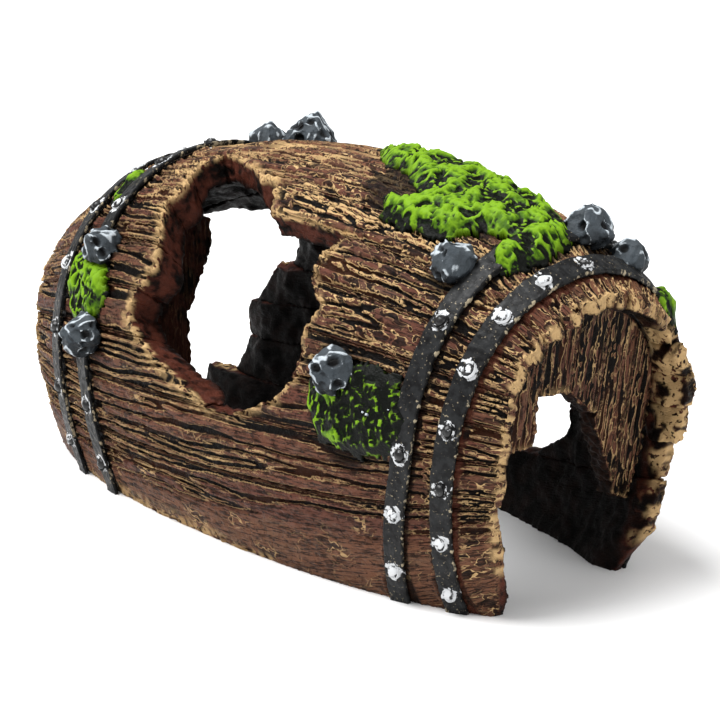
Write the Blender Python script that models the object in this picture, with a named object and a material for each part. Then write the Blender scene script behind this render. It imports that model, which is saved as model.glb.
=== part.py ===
# Broken barrel cave, an aquarium ornament.
#
# A wooden barrel lies half sunk on its side: +X runs along it to the open front, -Y is the side
# with the big hole, +Z is up and the cut underside rests on z = 0.  Every piece is laid out on
# the barrel's skin by two values: u, the place along the barrel from its middle, and an angle
# round it, 0 on the near side, 90 on top and 180 on the far side.

import math

import bpy
from mathutils import Vector

# ---- barrel, metres; an angle is in degrees ----
BILGE_RADIUS = 0.043         # outer radius at the middle
END_DROP = 0.0145            # radius lost from the middle to END_DROP_AT
END_DROP_AT = 0.078
HEIGHT_RATIO = 1.19          # the section is taller than it is wide
SIDE_SQUEEZE = 0.070         # flattens the two sides
SHOULDER = 0.038             # fills the two upper corners
AXIS_HEIGHT = 0.0272         # the barrel's axis over the floor at its middle
AXIS_RISE = 0.0587           # how much the axis climbs per metre towards the front
WALL = 0.0055                # thickness of a stave
CHIME_WALL = 0.0026          # a stave's thickness at the rims, where its inside is bevelled
CHIME_LENGTH = 0.006
GAP = 0.0003                 # clearance between neighbouring pieces
HEAD_GAP = 0.0006            # clearance between a head's boards and the staves round them

# ---- the two rims; each leans, so its top is further out than its sides and its feet less ----
FRONT_REACH = 0.0800         # middle to front rim at the sides
FRONT_LEAN = (0.0028, 0.0062)    # how far the top is out, and how far the feet are in
REAR_REACH = 0.0785
REAR_LEAN = (0.0024, 0.0024)
TIP_STEP = 0.0011            # how much one stave's rear tip stands past the next
TIP_ROUND = 0.0009           # how far a tip's corners are back from its middle
FOOT_BACK = (0.0025, 0.0060)     # how far the corners of the near and the far foot are broken back
# How far each stave's front tip stands past the rim, from the near foot over to the far foot.
FRONT_TIPS = (0.0, 0.0005, 0.0006, 0.0003, -0.0005, -0.0004, 0.0, 0.0004, 0.0, -0.0004, 0.0006,
              0.0, -0.0020, 0.0004, 0.0006, -0.0004, -0.0036, -0.0016)

# ---- staves: the angles of the joints between them ----
STAVE_JOINTS = (-12, 5, 18, 30, 42, 55.5, 66, 77, 91, 105, 119, 132, 145, 158, 171, 185, 200)
STAVE_STEPS = 12             # mesh steps along a whole stave

# A hole cuts a stave in two: (end of the rear piece, start of the front piece) at the stave's
# lower joint, its middle and its upper joint, from the barrel's middle.
NEAR_HOLE = {
    5: ((0.006, 0.015), (-0.007, 0.028), (-0.020, 0.033)),
    18: ((-0.020, 0.033), (-0.025, 0.034), (-0.023, 0.0335)),
    30: ((-0.022, 0.0335), (-0.019, 0.036), (-0.021, 0.031)),
    42: ((-0.021, 0.030), (-0.025, 0.0295), (-0.028, 0.033)),
    55.5: ((-0.028, 0.009), (-0.0265, 0.006), (-0.029, 0.001)),
    66: ((-0.029, -0.003), (-0.0295, -0.012), (-0.0275, -0.0245)),
}
FAR_HOLE = {
    145: ((0.002, 0.014), (-0.010, 0.027), (-0.016, 0.033)),
    158: ((-0.017, 0.034), (-0.021, 0.036), (-0.019, 0.038)),
    171: ((-0.019, 0.038), (-0.016, 0.040), (-0.017, 0.039)),
    185: ((-0.017, 0.039), (-0.012, 0.040), (0.006, 0.030)),
}
# Staves broken short at the far rear: their rear ends, measured in from the rear rim.
REAR_BREACH = {
    119: (0.003, 0.013, 0.025),
    132: (0.0275, 0.0285, 0.0285),
    145: (0.028, 0.0265, 0.0235),
    158: (0.0185, 0.0155, 0.0125),
    171: (0.0105, 0.0095, 0.010),
    185: (0.010, 0.009, 0.007),
}

# ---- hoops, each set in from its rim ----
HOOP_WIDTH = 0.0043
HOOP_THICK = 0.0009
HOOPS = {
    # name: rim, distance in from it at the sides, lean of its top and of its feet
    "hoop_front": ("front", 0.0099, (0.0058, 0.0062)),
    "hoop_front_inner": ("front", 0.0189, (0.0052, 0.0112)),
    "hoop_rear_inner": ("rear", 0.0373, (0.0040, 0.0024)),
    "hoop_rear": ("rear", 0.0220, (0.0004, 0.0004)),
}
HOOP_STEPS = 30
BREACH_FROM = 123            # the rear hoop is missing between these angles
BREACH_TO = 163
RIVET_RADIUS = 0.0012
RIVET_HEIGHT = 0.0009
RIVET_PITCH = 19             # degrees from one rivet to the next
RIVET_SIDES = 6

# ---- barrel heads: upright boards; edges across the barrel and their broken lower ends ----
HEAD_THICK = 0.005
FRONT_HEAD_INSET = 0.0097    # front rim to the face of the front head, at the sides
FRONT_HEAD_LEAN = (0.0064, 0.0064)
REAR_HEAD_INSET = 0.0100
FRONT_BOARDS = (
    # name, near edge, far edge, lower end at the near edge, lower end at the far edge
    ("front_head_board_1", -0.0300, -0.0170, 0.0310, 0.0300),
    ("front_head_board_2", -0.0170, -0.0075, 0.0315, 0.0325),
    ("front_head_board_3", -0.0075, 0.0005, 0.0430, 0.0425),
    ("front_head_board_4", 0.0005, 0.0088, 0.0420, 0.0360),
    ("front_head_board_5", 0.0088, 0.0170, 0.0340, 0.0190),
    ("front_head_board_6", 0.0170, 0.0300, 0.0170, 0.0140),
)
REAR_BOARDS = (
    ("rear_head_board_1", -0.0300, -0.0150, 0.0100, 0.0060),
    ("rear_head_board_2", -0.0150, -0.0045, 0.0060, 0.0040),
    ("rear_head_board_3", -0.0045, 0.0064, 0.0060, 0.0150),
    ("rear_head_board_4", 0.0064, 0.0140, 0.0300, 0.0440),
)

# ---- stones and moss: what they are set from, how far along, angle, size and height ----
# "front" counts along from the inner hoop at the front, "rear" from the one at the rear, and
# a piece marked True lies across a hoop, so it starts above it.
STONES = (
    ("stone_near_front_1", "front", -0.0191, 22.5, 0.0042, 0.0038, 0.0058, False),
    ("stone_near_front_2", "front", -0.0046, 18, 0.0042, 0.0040, 0.0050, True),
    ("stone_top_front_1", "front", -0.0055, 58, 0.0046, 0.0040, 0.0050, True),
    ("stone_top_front_2", "front", 0.0005, 106, 0.0050, 0.0044, 0.0050, True),
    ("stone_top_front_3", "front", 0.0060, 119, 0.0038, 0.0036, 0.0042, True),
    ("stone_near_rear_1", "rear", 0.0030, 39, 0.0038, 0.0038, 0.0050, True),
    ("stone_near_rear_2", "rear", 0.0030, 15, 0.0038, 0.0036, 0.0050, True),
    ("stone_top_rear_1", "rear", 0.0078, 104, 0.0040, 0.0042, 0.0040, False),
    ("stone_top_rear_2", "rear", 0.0220, 104, 0.0058, 0.0048, 0.0042, False),
)
MOSS = (
    ("moss_top", "front", -0.0245, 85, 0.0180, 0.0140, 0.0024, False),
    ("moss_hoop_top", "front", 0.0005, 80, 0.0042, 0.0090, 0.0014, True),
    ("moss_near_front", "front", -0.0140, 8.5, 0.0088, 0.0058, 0.0024, False),
    ("moss_near_rear", "rear", -0.0005, 27, 0.0080, 0.0038, 0.0014, True),
    ("moss_rear_top", "rear", -0.0061, 62, 0.0024, 0.0050, 0.0014, False),
    ("moss_front_far", "front", 0.0110, 136, 0.0040, 0.0040, 0.0014, True),
)
LUMP_SECTORS = 12
LUMP_LIFT = 0.0002           # extra clearance under a wide lump, for the skin's curve

# ---- colours: base colour, roughness, metallic ----
STAVE_WOOD = ((0.107, 0.060, 0.035), 0.62, 0.0)
HEAD_WOOD = ((0.091, 0.045, 0.030), 0.66, 0.0)
HOOP_IRON = ((0.038, 0.039, 0.039), 0.48, 0.0)
STONE_GREY = ((0.323, 0.356, 0.361), 0.52, 0.0)
MOSS_GREEN = ((0.125, 0.202, 0.012), 0.70, 0.0)


# ---- the barrel's skin ----
def radius(u):
    share = u / END_DROP_AT
    return BILGE_RADIUS - END_DROP * (0.69 * share ** 2 + 0.31 * share ** 4)


def swell(angle):
    a = math.radians(angle)
    return 1 - SIDE_SQUEEZE * math.cos(2 * a) + SHOULDER * math.sin(3 * a)


def axis_height(u):
    return AXIS_HEIGHT + AXIS_RISE * u


def skin(u, angle, depth=0.0):
    """A point on the barrel, depth under its outer surface; level depth below the axis."""
    a = math.radians(angle)
    full = radius(u) * swell(angle)
    if math.sin(a) >= 0:
        y = -(full - depth) * math.cos(a)
        z = axis_height(u) + HEIGHT_RATIO * (full - depth) * math.sin(a)
    else:
        y = -(full * abs(math.cos(a)) - depth) * math.copysign(1, math.cos(a))
        z = axis_height(u) + HEIGHT_RATIO * full * math.sin(a)
    return Vector((u, y, z))


def floor_angle(u):
    """The angle below the near side where the skin meets the floor."""
    low, high = -90.0, 0.0
    for _ in range(30):
        middle = (low + high) / 2
        if skin(u, middle).z > 0:
            high = middle
        else:
            low = middle
    return high


def lean_out(leans, angle):
    """How much further out than its sides a leaning ring is at an angle."""
    rise = math.sin(math.radians(angle))
    return leans[0] * rise if rise > 0 else leans[1] * rise


def front_rim(angle):
    return FRONT_REACH + lean_out(FRONT_LEAN, angle)


def rear_rim(angle):
    return -REAR_REACH - lean_out(REAR_LEAN, angle)


# ---- mesh helpers ----
def new_material(name, look):
    colour, roughness, metallic = look
    material = bpy.data.materials.new(name)
    material.use_nodes = True
    shader = material.node_tree.nodes["Principled BSDF"]
    shader.inputs["Base Color"].default_value = (*colour, 1)
    shader.inputs["Roughness"].default_value = roughness
    shader.inputs["Metallic"].default_value = metallic
    return material


def add_node(name, points, faces, look, smooth=False):
    mesh = bpy.data.meshes.new(name)
    mesh.from_pydata([tuple(point) for point in points], [], faces)
    mesh.validate()
    mesh.materials.append(new_material(name, look))
    if smooth:
        mesh.shade_smooth()
        mesh.set_sharp_from_angle(angle=math.radians(40))
    node = bpy.data.objects.new(name, mesh)
    bpy.context.collection.objects.link(node)
    node.parent = root
    return node


def slab(outer, inner):
    """Points and faces of a closed slab between two grids of the same size.

    The grids run along +u in rows and up round the barrel in columns.
    """
    rows, columns = len(outer), len(outer[0])
    points = [point for row in outer for point in row]
    offset = len(points)
    points += [point for row in inner for point in row]

    def at(i, j):
        return i * columns + j

    faces = []
    for i in range(rows - 1):
        for j in range(columns - 1):
            ring = (at(i, j), at(i + 1, j), at(i + 1, j + 1), at(i, j + 1))
            faces.append(ring)
            faces.append(tuple(offset + corner for corner in reversed(ring)))
    border = [at(i, 0) for i in range(rows)]
    border += [at(rows - 1, j) for j in range(1, columns)]
    border += [at(i, columns - 1) for i in range(rows - 2, -1, -1)]
    border += [at(0, j) for j in range(columns - 2, 0, -1)]
    for k, start in enumerate(border):
        end = border[(k + 1) % len(border)]
        faces.append((end, start, offset + start, offset + end))
    return points, faces


# ---- staves ----
def blend3(values, t):
    """A value along a stave's width from its lower, middle and upper ones."""
    low, middle, high = values
    if t < 0.5:
        return low + (middle - low) * 2 * t
    return middle + (high - middle) * (2 * t - 1)


def add_stave(name, low, high, rear_edge, front_edge, rear_chime=True, front_chime=True):
    """One stave between two joint angles; None as a joint means that it stands on the floor.

    rear_edge and front_edge give the stave's ends for an angle and a share of its width, and
    a stave that reaches a rim has a chime there.
    """
    length = front_edge(high or low, 0.5) - rear_edge(high or low, 0.5)
    steps = max(3, round(STAVE_STEPS * length / (FRONT_REACH + REAR_REACH)))
    first = CHIME_LENGTH / length if rear_chime else 0
    last = 1 - CHIME_LENGTH / length if front_chime else 1
    shares = [first + (last - first) * i / steps for i in range(steps + 1)]
    walls = [WALL] * len(shares)
    if rear_chime:
        shares.insert(0, 0)
        walls.insert(0, CHIME_WALL)
    if front_chime:
        shares.append(1)
        walls.append(CHIME_WALL)
    outer, inner = [], []
    for share, wall in zip(shares, walls):
        rows = []
        for t in (0, 0.5, 1):
            u = rear_edge(high or low, t) * (1 - share) + front_edge(high or low, t) * share
            for _ in range(6):
                joint = math.degrees(GAP / 2 / radius(u))
                bottom = floor_angle(u) if low is None else low + joint
                top = 180 - floor_angle(u) if high is None else high - joint
                angle = bottom * (1 - t) + top * t
                u = rear_edge(angle, t) * (1 - share) + front_edge(angle, t) * share
            on_floor = (low is None and t == 0) or (high is None and t == 1)
            rows.append((u, angle, on_floor))
        for grid, depth in ((outer, 0), (inner, wall)):
            row = [skin(u, angle, depth) for u, angle, _ in rows]
            for point, (_, _, on_floor) in zip(row, rows):
                if on_floor:
                    point.z = 0
            grid.append(row)
    points, faces = slab(outer, inner)
    return add_node(name, points, faces, STAVE_WOOD)


def add_staves():
    bounds = (None, *STAVE_JOINTS, None)
    for number, (low, high) in enumerate(zip(bounds, bounds[1:]), start=1):
        tip = TIP_STEP * math.sin(2.4 * number)

        def to_front(angle, t, tip=FRONT_TIPS[number - 1], low=low, high=high):
            broken = 0
            if low is None:
                broken = FOOT_BACK[0] * max(0, 1 - 2 * t)
            elif high is None:
                broken = FOOT_BACK[1] * max(0, 2 * t - 1)
            return front_rim(angle) + tip - TIP_ROUND * abs(2 * t - 1) - broken

        def to_rear(angle, t, tip=tip, low=low):
            end = rear_rim(angle) + tip + TIP_ROUND * abs(2 * t - 1)
            if low in REAR_BREACH:
                end = rear_rim(angle) + blend3(REAR_BREACH[low], t)
            return end

        label = f"stave_{number:02d}"
        cut = NEAR_HOLE.get(low) or FAR_HOLE.get(low)
        if cut is None:
            add_stave(label, low, high, to_rear, to_front)
            continue
        rear_ends = [pair[0] for pair in cut]
        front_starts = [pair[1] for pair in cut]
        add_stave(label + "_rear", low, high, to_rear, lambda angle, t: blend3(rear_ends, t),
                  front_chime=False)
        add_stave(label + "_front", low, high, lambda angle, t: blend3(front_starts, t), to_front,
                  rear_chime=False)


# ---- hoops ----
def covered(hoop, angle):
    """Whether a stone or moss lies where a rivet would be, so the rivet is left out."""
    u = hoop_place(hoop, angle)
    for _, origin, along, lump_angle, half_length, half_width, _, on_hoop in STONES + MOSS:
        across = math.radians(angle - lump_angle) * radius(u)
        near_along = abs(u - lump_place(origin, along, lump_angle)) < 1.2 * half_length + RIVET_RADIUS
        if on_hoop and near_along and abs(across) < 1.2 * half_width + RIVET_RADIUS:
            return True
    return False


def hoop_place(name, angle):
    """Where the middle of a hoop runs: it leans much as its rim does."""
    rim, inset, leans = HOOPS[name]
    if rim == "front":
        return FRONT_REACH - inset + lean_out(leans, angle)
    return -REAR_REACH + inset - lean_out(leans, angle)


def rivet_dome(hoop, angle):
    """A low domed head: a ring sunk in the band, a ring on it and a tip."""
    centre_u = hoop_place(hoop, angle)
    around = math.degrees(1 / radius(centre_u))
    middle = -(GAP + HOOP_THICK / 2)
    levels = ((middle, 1.0), (-(GAP + HOOP_THICK + RIVET_HEIGHT * 0.45), 0.85))
    points = []
    for depth, share in levels:
        for k in range(RIVET_SIDES):
            turn = 2 * math.pi * (k + 0.5) / RIVET_SIDES
            points.append(skin(centre_u + RIVET_RADIUS * share * math.cos(turn),
                               angle + RIVET_RADIUS * share * math.sin(turn) * around, depth))
    points.append(skin(centre_u, angle, -(GAP + HOOP_THICK + RIVET_HEIGHT)))
    tip = len(points) - 1
    sides = range(RIVET_SIDES)
    faces = [tuple(reversed(sides))]
    for k in sides:
        after = (k + 1) % RIVET_SIDES
        faces.append((k, after, RIVET_SIDES + after, RIVET_SIDES + k))
        faces.append((RIVET_SIDES + k, RIVET_SIDES + after, tip))
    return points, faces


def add_hoop(name, hoop, start=None, end=None):
    """An iron band round the staves with its rivet heads; it stops at the floor by default."""
    centre = hoop_place(hoop, 0)
    first = floor_angle(centre) if start is None else start
    last = 180 - floor_angle(centre) if end is None else end
    steps = max(4, round(HOOP_STEPS * (last - first) / 240))
    outer, inner = [], []
    for side in (-0.5, 0.5):
        rows = []
        for k in range(steps + 1):
            angle = first + (last - first) * k / steps
            u = hoop_place(hoop, angle) + side * HOOP_WIDTH
            on_floor = (k == 0 and start is None) or (k == steps and end is None)
            if on_floor:
                for _ in range(6):
                    angle = floor_angle(u) if k == 0 else 180 - floor_angle(u)
                    u = hoop_place(hoop, angle) + side * HOOP_WIDTH
            rows.append((u, angle, on_floor))
        for grid, depth in ((outer, -(GAP + HOOP_THICK)), (inner, -GAP)):
            row = [skin(u, angle, depth) for u, angle, _ in rows]
            for point, (_, _, on_floor) in zip(row, rows):
                if on_floor:
                    point.z = 0
            grid.append(row)
    points, faces = slab(outer, inner)
    band = add_node(name, points, faces, HOOP_IRON, smooth=True)

    heads_points, heads_faces = [], []
    count = int((last - first - 12) / RIVET_PITCH) + 1
    margin = (last - first - (count - 1) * RIVET_PITCH) / 2
    for angle in (first + margin + k * RIVET_PITCH for k in range(count)):
        if covered(hoop, angle):
            continue
        head_points, head_faces = rivet_dome(hoop, angle)
        offset = len(heads_points)
        heads_points += head_points
        heads_faces += [tuple(offset + corner for corner in face) for face in head_faces]
    heads = add_node(name + "_heads_guide", heads_points, heads_faces, HOOP_IRON)
    heads.hide_render = True
    heads.display_type = "WIRE"
    union = band.modifiers.new("rivets", "BOOLEAN")
    union.operation = "UNION"
    union.solver = "EXACT"
    union.object = heads


# ---- heads ----
def head_outline(plane):
    """The inside of the wall round a head: (y, z) points from near foot to far foot."""
    outline = []
    for k in range(121):
        u = plane(axis_height(0))
        for _ in range(8):
            low = floor_angle(u)
            point = skin(u, low + (180 - 2 * low) * k / 120, WALL + HEAD_GAP)
            u = plane(point.z)
        outline.append((point.y, point.z))
    return outline


def inside_height(outline, y, upper):
    """Height of the wall's inside at y, over or under the barrel's widest place."""
    widest_near = min(range(len(outline)), key=lambda k: outline[k][0])
    widest_far = max(range(len(outline)), key=lambda k: outline[k][0])
    if upper:
        stretch = outline[widest_near:widest_far + 1]
    elif y < 0:
        stretch = outline[:widest_near + 1]
    else:
        stretch = outline[widest_far:]
    for (y1, z1), (y2, z2) in zip(stretch, stretch[1:]):
        if min(y1, y2) <= y <= max(y1, y2):
            return z1 + (z2 - z1) * (y - y1) / (y2 - y1)
    return 0.0


def add_head(boards, place, outward):
    """Upright boards in a flat, leaning head, their tops following the wall's inside."""
    level = axis_height(place(0))
    lean = (place(90) - place(0)) / (skin(place(90), 90).z - level)

    def plane(z):
        return place(0) + lean * (z - level)

    outline = head_outline(plane)
    near_limit = min(point[0] for point in outline)
    far_limit = max(point[0] for point in outline)
    for name, near, far, near_end, far_end in boards:
        start = max(near + GAP / 2, near_limit + 2 * GAP)
        stop = min(far - GAP / 2, far_limit - 2 * GAP)
        lower, upper = [], []
        for k in range(4):
            share = k / 3
            y = start + (stop - start) * share
            broken = near_end + (far_end - near_end) * share
            top = inside_height(outline, y, True)
            bottom = max(broken, inside_height(outline, y, False))
            if top - bottom < 2 * GAP:
                middle = (top + bottom) / 2
                top, bottom = middle + GAP, middle - GAP
            lower.append((y, bottom))
            upper.append((y, top))
        grids = []
        for depth in (0, HEAD_THICK):
            grids.append([[Vector((plane(z) - outward * depth, y, z)) for y, z in row]
                          for row in (lower, upper)])
        if outward > 0:
            points, faces = slab([list(row) for row in zip(*grids[0])],
                                 [list(row) for row in zip(*grids[1])])
        else:
            points, faces = slab(grids[0], grids[1])
        add_node(name, points, faces, HEAD_WOOD)


# ---- stones and moss ----
def lump_place(origin, along, angle):
    return hoop_place(f"hoop_{origin}_inner", angle) + along


def add_lump(name, origin, along, angle, half_length, half_width, height, on_hoop, look, rings):
    """A mound on the skin: rings of points, flat below and domed above."""
    centre_u = lump_place(origin, along, angle)
    around = math.degrees(1 / (radius(centre_u) * swell(angle)))
    base = -(GAP + LUMP_LIFT + (GAP + HOOP_THICK if on_hoop else 0))
    top, bottom = [], []
    for ring in range(1, rings + 1):
        share = ring / rings
        for k in range(LUMP_SECTORS):
            turn = 2 * math.pi * k / LUMP_SECTORS
            ragged = 1 + 0.10 * math.sin(3 * turn + along * 900) * share
            u = centre_u + half_length * share * ragged * math.cos(turn)
            a = angle + half_width * share * ragged * math.sin(turn) * around
            bump = 1 + 0.12 * math.sin(2 * turn + angle)
            rise = 0.25 * height + 0.75 * height * bump * math.sqrt(1 - share ** 2)
            top.append(skin(u, a, base - rise))
            bottom.append(skin(u, a, base))
    points = [skin(centre_u, angle, base - height), *top, skin(centre_u, angle, base), *bottom]
    under = 1 + len(top)
    faces = []
    for k in range(LUMP_SECTORS):
        after = (k + 1) % LUMP_SECTORS
        faces.append((0, 1 + k, 1 + after))
        faces.append((under, under + 1 + after, under + 1 + k))
        for ring in range(rings - 1):
            a, b = ring * LUMP_SECTORS + 1, (ring + 1) * LUMP_SECTORS + 1
            faces.append((a + k, b + k, b + after, a + after))
            faces.append((under + a + after, under + b + after, under + b + k, under + a + k))
        edge = (rings - 1) * LUMP_SECTORS + 1
        faces.append((edge + k, under + edge + k, under + edge + after, edge + after))
    return add_node(name, points, faces, look, smooth=True)


# ---- the whole ornament ----
def centre_on_footprint():
    """Move everything so that the origin is under the middle of the whole object."""
    bpy.context.view_layer.update()
    corners = [node.matrix_world @ Vector(corner)
               for node in bpy.context.scene.objects
               if node.type == "MESH" and not node.hide_render
               for corner in node.bound_box]
    for axis in (0, 1):
        values = [corner[axis] for corner in corners]
        root.location[axis] -= (min(values) + max(values)) / 2


for old in list(bpy.data.objects):
    bpy.data.objects.remove(old)
root = bpy.data.objects.new("ornament", None)
bpy.context.collection.objects.link(root)

add_staves()
for hoop_name in ("hoop_front", "hoop_front_inner", "hoop_rear_inner"):
    add_hoop(hoop_name, hoop_name)
add_hoop("hoop_rear", "hoop_rear", end=BREACH_FROM)
add_hoop("hoop_rear_far", "hoop_rear", start=BREACH_TO)
add_head(FRONT_BOARDS,
         lambda angle: FRONT_REACH - FRONT_HEAD_INSET + lean_out(FRONT_HEAD_LEAN, angle), 1)
add_head(REAR_BOARDS, lambda angle: rear_rim(angle) + REAR_HEAD_INSET, -1)
for stone in STONES:
    add_lump(*stone, STONE_GREY, 2)
for pad in MOSS:
    add_lump(*pad, MOSS_GREEN, 3)
centre_on_footprint()
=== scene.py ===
import math

import bpy
import numpy as np
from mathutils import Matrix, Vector


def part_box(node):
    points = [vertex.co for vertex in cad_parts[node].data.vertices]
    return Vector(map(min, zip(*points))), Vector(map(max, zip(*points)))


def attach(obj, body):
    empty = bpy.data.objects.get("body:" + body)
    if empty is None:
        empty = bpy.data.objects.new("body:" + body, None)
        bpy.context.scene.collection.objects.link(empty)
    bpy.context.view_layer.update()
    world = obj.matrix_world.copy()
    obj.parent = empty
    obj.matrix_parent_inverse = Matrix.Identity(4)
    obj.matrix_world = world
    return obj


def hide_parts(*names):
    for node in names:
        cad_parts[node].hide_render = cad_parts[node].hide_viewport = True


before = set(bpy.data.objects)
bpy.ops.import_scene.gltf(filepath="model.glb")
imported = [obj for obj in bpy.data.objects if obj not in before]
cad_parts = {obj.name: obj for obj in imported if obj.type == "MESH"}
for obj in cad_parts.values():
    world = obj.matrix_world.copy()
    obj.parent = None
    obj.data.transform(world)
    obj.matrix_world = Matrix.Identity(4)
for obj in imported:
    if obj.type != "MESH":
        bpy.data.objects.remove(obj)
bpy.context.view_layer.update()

barrel = {
    "bilgeRadius": 0.043,     # outer radius at the middle
    "endDrop": 0.0145,        # radius lost from the middle to endDropAt
    "endDropAt": 0.078,
    "heightRatio": 1.19,
    "sideSqueeze": 0.070,
    "shoulder": 0.038,
    "axisHeight": 0.0272,
    "axisRise": 0.0587,
    "wall": 0.0055,
    "cutStave": 0.015,        # from the middle to the rear end of the third stave's front piece
    "boardEdge": 0.00435,     # from the middle line to the near edge of the third rear board
    "unrolled": 0.036,        # the radius at which the skin is laid out flat
}
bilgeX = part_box("stave_03_front")[0].x - barrel["cutStave"]
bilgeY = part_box("rear_head_board_3")[0].y + barrel["boardEdge"]
mm = 0.001


# ---- the barrel's skin: how far along, the turn round it and the depth under it ----
def radiusAt(u):
    share = u / barrel["endDropAt"]
    return barrel["bilgeRadius"] - barrel["endDrop"] * (0.69 * share ** 2 + 0.31 * share ** 4)


def swellAt(turn):
    return 1 - barrel["sideSqueeze"] * np.cos(2 * turn) + barrel["shoulder"] * np.sin(3 * turn)


def toSkin(points):
    u = points[:, 0] - bilgeX
    rise = (points[:, 2] - barrel["axisHeight"] - barrel["axisRise"] * u) / barrel["heightRatio"]
    across = bilgeY - points[:, 1]
    turn = np.arctan2(rise, across)
    turn = np.where(turn < -math.pi / 2, turn + 2 * math.pi, turn)
    depth = radiusAt(u) * swellAt(turn) - np.hypot(rise, across)
    low = rise < 0
    for _ in range(4):
        lowTurn = np.arcsin(np.clip(rise / (radiusAt(u) * swellAt(turn)), -0.999, 0.999))
        turn = np.where(low, np.where(across > 0, lowTurn, math.pi - lowTurn), turn)
    lowDepth = radiusAt(u) * swellAt(turn) * np.abs(np.cos(turn)) - np.abs(across)
    return u, turn, np.where(low, lowDepth, depth)


def fromSkin(u, turn, depth):
    full = radiusAt(u) * swellAt(turn)
    height = barrel["axisHeight"] + barrel["axisRise"] * u
    low = np.sin(turn) < 0
    side = np.where(np.cos(turn) < 0, -1.0, 1.0)
    y = np.where(low, -(full * np.abs(np.cos(turn)) - depth) * side, -(full - depth) * np.cos(turn))
    z = height + barrel["heightRatio"] * np.where(low, full, full - depth) * np.sin(turn)
    return np.stack([u + bilgeX, y + bilgeY, z], 1)


# a place on the skin and the way out of it there, from a depth in millimetres
def seatOn(u, turn, depth):
    foot, tip = fromSkin(np.repeat(u, 2), np.repeat(turn, 2), np.array([depth * mm, (depth - 1) * mm]))
    return Vector(foot), Vector(tip - foot).normalized()


# ---- noise for the carving ----
carving = {
    "seed": 11, "tableSize": 4096,
    "mix": (73856093, 19349663, 83492791),    # large odd numbers that scatter the cells
    "gain": 1.6,                              # brings the noise to about -1 to 1
}
randomSource = np.random.default_rng(carving["seed"])
slopes = randomSource.normal(size=(carving["tableSize"], 3))
slopes /= np.linalg.norm(slopes, axis=1)[:, None]
scatter = randomSource.random((carving["tableSize"], 3))


def cornerNumber(cell):
    a, b, c = carving["mix"]
    mixed = cell[:, 0] * a ^ cell[:, 1] * b ^ cell[:, 2] * c
    return mixed & (carving["tableSize"] - 1)


def noise(x, y, z):
    place = np.stack(np.broadcast_arrays(x, y, z), 1).astype(float)
    cell = np.floor(place).astype(np.int64)
    inside = place - cell
    ease = inside ** 3 * (inside * (inside * 6 - 15) + 10)
    total = np.zeros(len(place))
    for corner in np.ndindex(2, 2, 2):
        corner = np.array(corner)
        slope = slopes[cornerNumber(cell + corner)]
        weight = np.prod(np.where(corner, ease, 1 - ease), axis=1)
        total += weight * ((inside - corner) * slope).sum(1)
    return total * carving["gain"]


def noiseIn(points, size):
    return noise(*(points / size).T)


def cellNoise(x, y, z):
    place = np.stack(np.broadcast_arrays(x, y, z), 1).astype(float)
    cell = np.floor(place).astype(np.int64)
    nearest = np.full(len(place), np.inf)
    for step in np.ndindex(3, 3, 3):
        corner = cell + np.array(step) - 1
        distance = np.linalg.norm(corner + scatter[cornerNumber(corner)] - place, axis=1)
        nearest = np.minimum(nearest, distance)
    return nearest


def smooth(low, high, value):
    share = np.clip((value - low) / (high - low), 0, 1)
    return share * share * (3 - 2 * share)


# ---- mesh helpers ----
def pick(piece):
    bpy.ops.object.select_all(action="DESELECT")
    piece.select_set(True)
    bpy.context.view_layer.objects.active = piece


def addObject(name, data):
    made = bpy.data.objects.new(name, data)
    bpy.context.scene.collection.objects.link(made)
    return made


def copyNode(node, name):
    piece = addObject(name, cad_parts[node].data.copy())
    pick(piece)
    bpy.ops.object.mode_set(mode="EDIT")
    bpy.ops.mesh.select_all(action="SELECT")
    bpy.ops.mesh.remove_doubles(threshold=0.000001)
    bpy.ops.object.mode_set(mode="OBJECT")
    return piece


def remesh(piece, voxel):
    pick(piece)
    modifier = piece.modifiers.new("remesh", "REMESH")
    modifier.mode = "VOXEL"
    modifier.voxel_size = voxel
    bpy.ops.object.modifier_apply(modifier="remesh")


def selectWhere(kind, parts, chosen):
    bpy.ops.object.mode_set(mode="EDIT")
    bpy.ops.mesh.select_mode(type=kind)
    bpy.ops.mesh.select_all(action="DESELECT")
    bpy.ops.object.mode_set(mode="OBJECT")
    parts.foreach_set("select", chosen)
    bpy.ops.object.mode_set(mode="EDIT")


def readPoints(mesh, kind="co"):
    values = np.empty(len(mesh.vertices) * 3)
    mesh.vertices.foreach_get(kind, values)
    return values.reshape(-1, 3)


def readNormals(mesh):
    return readPoints(mesh, "normal")


def writePoints(mesh, points):
    mesh.vertices.foreach_set("co", points.ravel())
    mesh.update()


def writeValues(mesh, **values):
    for name, value in values.items():
        attribute = mesh.attributes.new(name, "FLOAT", "POINT")
        attribute.data.foreach_set("value", np.broadcast_to(value, len(mesh.vertices)).astype(float))


def writePlaces(mesh, name, places):
    attribute = mesh.attributes.new(name, "FLOAT_VECTOR", "POINT")
    attribute.data.foreach_set("vector", places.astype(float).ravel())


# how far each point stands above the points around it, in millimetres
def crestOf(mesh, reach=3):
    points, normals = readPoints(mesh), readNormals(mesh)
    ends = np.empty(len(mesh.edges) * 2, np.int64)
    mesh.edges.foreach_get("vertices", ends)
    a, b = ends.reshape(-1, 2).T
    count = len(points)
    degree = np.maximum(np.bincount(a, minlength=count) + np.bincount(b, minlength=count), 1)
    spread = points
    for _ in range(reach):
        spread = np.stack([(np.bincount(a, spread[b, k], count) + np.bincount(b, spread[a, k], count))
                           / degree for k in range(3)], 1)
    return ((points - spread) * normals).sum(1) / mm


def finishPiece(piece, material, slot, *nodes):
    piece.data.materials.clear()
    piece.data.materials.append(material)
    pick(piece)
    bpy.ops.object.shade_smooth()
    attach(piece, "root")
    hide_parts(*nodes)


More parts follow.
